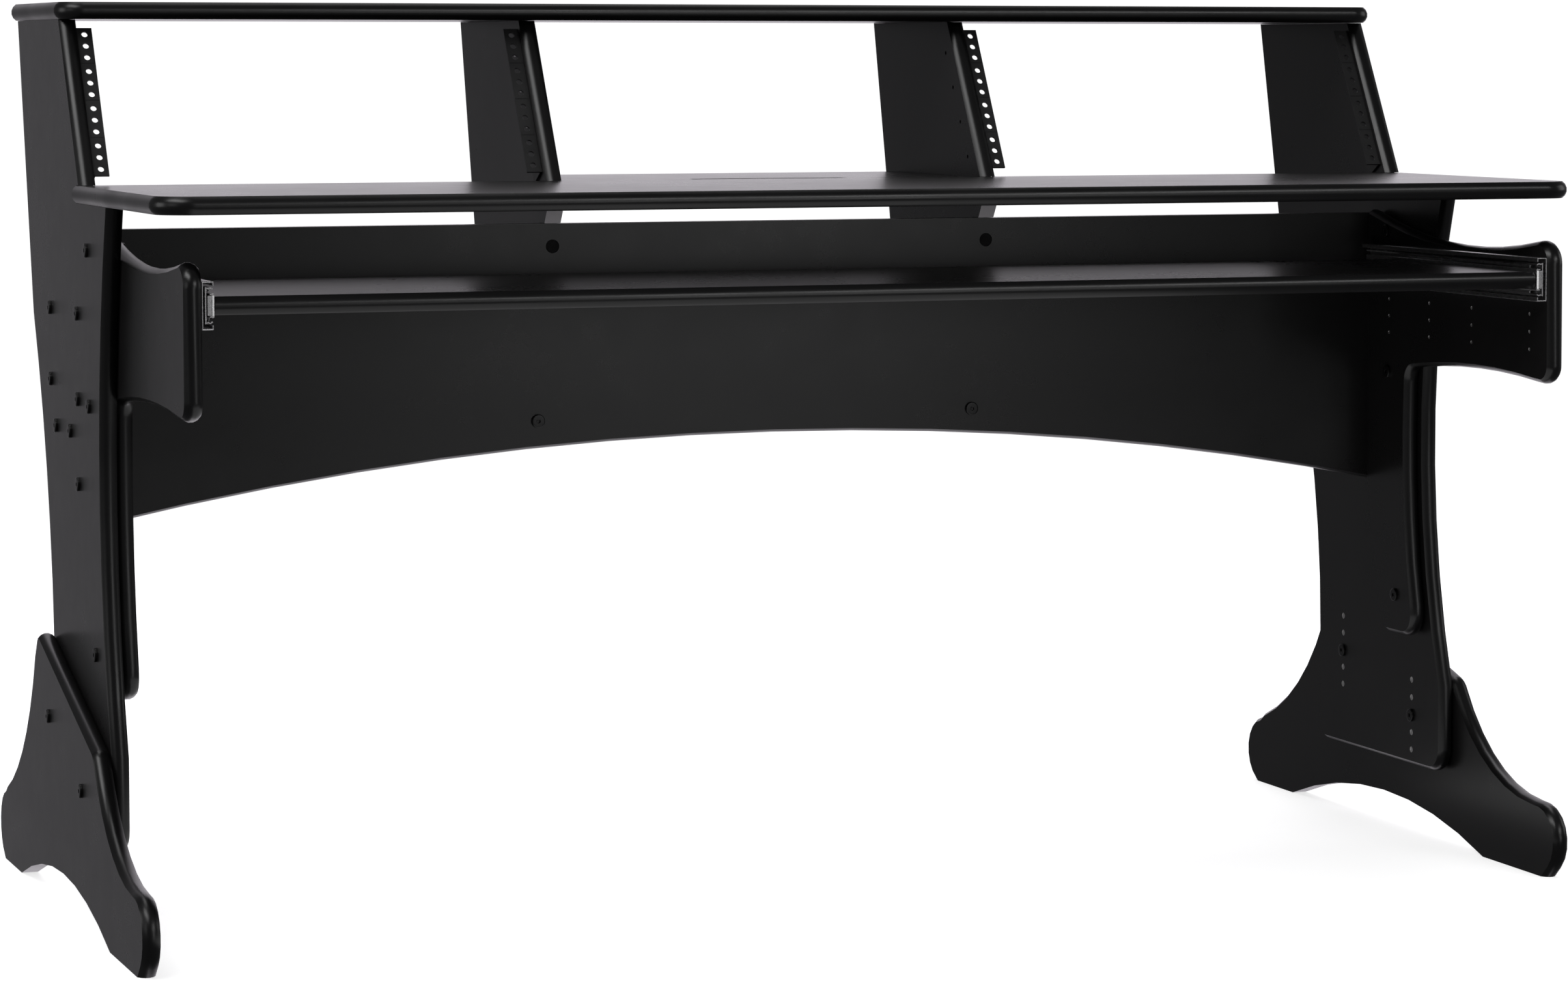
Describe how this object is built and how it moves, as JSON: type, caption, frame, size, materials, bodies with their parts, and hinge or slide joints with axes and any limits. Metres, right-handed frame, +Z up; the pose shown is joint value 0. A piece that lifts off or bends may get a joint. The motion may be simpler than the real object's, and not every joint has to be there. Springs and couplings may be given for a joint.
{
  "type": "computer desk with keyboard tray",
  "caption": "Black studio desk with shaped side frames on splayed feet, a raised rack hutch with slanted rails, an arched modesty panel and a keyboard tray on ball-bearing slides.",
  "frame": {"origin": "on the floor, at the middle of the desk's width and depth", "axes": "-Y is the sitter's side, +X is the sitter's right, +Z is up"},
  "size_m": [1.564, 0.8238, 0.949],
  "materials": {
    "board_black": "satin black laminate with a fine grain texture",
    "rail_black": "black powder coat",
    "zinc_steel": "bright zinc plate",
    "bolt_black": "black oxide"
  },
  "bodies": {
    "desk": {"top_shelf": "board_black", "desktop": "board_black", "rear_floor": "board_black", "modesty_panel": "board_black", "trough_floor": "board_black", "trough_back": "board_black", "side_panel_left": "board_black", "side_panel_right": "board_black", "divider_left": "board_black", "divider_right": "board_black", "arm_left": "board_black", "arm_right": "board_black", "foot_left": "board_black", "foot_right": "board_black", "rack_rail_1": "rail_black", "rack_rail_2": "rail_black", "rack_rail_3": "rail_black", "rack_rail_4": "rail_black", "slide_outer_left": "zinc_steel", "slide_outer_right": "zinc_steel", "arm_bolt_left_1": "bolt_black", "arm_bolt_left_2": "bolt_black", "arm_bolt_left_3": "bolt_black", "arm_bolt_right_1": "bolt_black", "arm_bolt_right_2": "bolt_black", "arm_bolt_right_3": "bolt_black", "foot_bolt_left_1": "bolt_black", "foot_bolt_left_2": "bolt_black", "foot_bolt_right_1": "bolt_black", "foot_bolt_right_2": "bolt_black", "modesty_bolt_left_1": "bolt_black", "modesty_bolt_left_2": "bolt_black", "modesty_bolt_left_3": "bolt_black", "modesty_bolt_right_1": "bolt_black", "modesty_bolt_right_2": "bolt_black", "modesty_bolt_right_3": "bolt_black", "trough_back_bolt_left_1": "bolt_black", "trough_back_bolt_left_2": "bolt_black", "trough_back_bolt_right_1": "bolt_black", "trough_back_bolt_right_2": "bolt_black", "trough_floor_bolt_left_1": "bolt_black", "trough_floor_bolt_left_2": "bolt_black", "trough_floor_bolt_right_1": "bolt_black", "trough_floor_bolt_right_2": "bolt_black", "modesty_bolt_lower_1": "bolt_black", "modesty_bolt_lower_2": "bolt_black", "modesty_cap_upper_1": "bolt_black", "modesty_cap_upper_2": "bolt_black"},
    "tray": {"tray": "board_black", "slide_inner_left": "zinc_steel", "slide_inner_right": "zinc_steel"},
    "slide_middle_left": {"slide_middle_left": "zinc_steel"},
    "slide_middle_right": {"slide_middle_right": "zinc_steel"}
  },
  "joints": [
    {"name": "tray_slide", "type": "slide", "parent": "desk", "child": "tray", "axis": [0, -1, 0], "range_m": [0, 0.35]},
    {"name": "middle_slide_left", "type": "slide", "parent": "desk", "child": "slide_middle_left", "axis": [0, -1, 0], "range_m": [0, 0.175]},
    {"name": "middle_slide_right", "type": "slide", "parent": "desk", "child": "slide_middle_right", "axis": [0, -1, 0], "range_m": [0, 0.175]}
  ],
  "couplings": [
    {"joint": "middle_slide_left", "follows": "tray_slide", "ratio": 0.5},
    {"joint": "middle_slide_right", "follows": "tray_slide", "ratio": 0.5}
  ]
}
